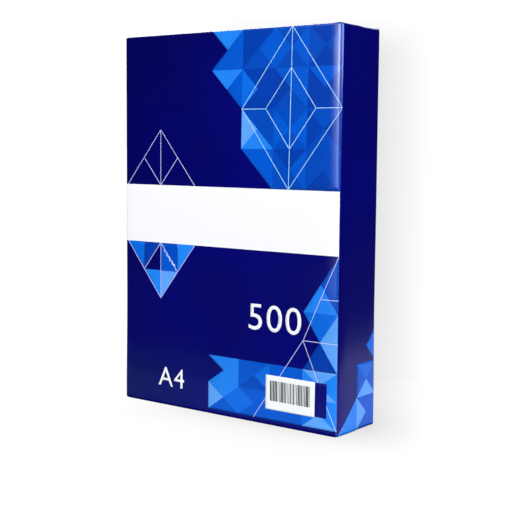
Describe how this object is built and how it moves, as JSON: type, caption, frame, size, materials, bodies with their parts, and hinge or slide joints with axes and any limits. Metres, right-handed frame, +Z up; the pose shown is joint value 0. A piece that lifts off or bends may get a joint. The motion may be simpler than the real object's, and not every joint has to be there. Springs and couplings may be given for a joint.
{
  "type": "ream of paper",
  "caption": "Sealed ream of A4 copy paper in a glued printed wrapper, a closed block with folded ends and a glued back seam.",
  "frame": {"origin": "middle of the footprint, on the surface that the pack stands on", "axes": "+Z up along the long side of the sheets, -Y out of the printed front, +X to the right seen from the front"},
  "size_m": [0.211, 0.0522, 0.299],
  "materials": {
    "printed_wrapper": "gloss laminate"
  },
  "bodies": {
    "root": {"paper_ream": "printed_wrapper"}
  },
  "joints": []
}
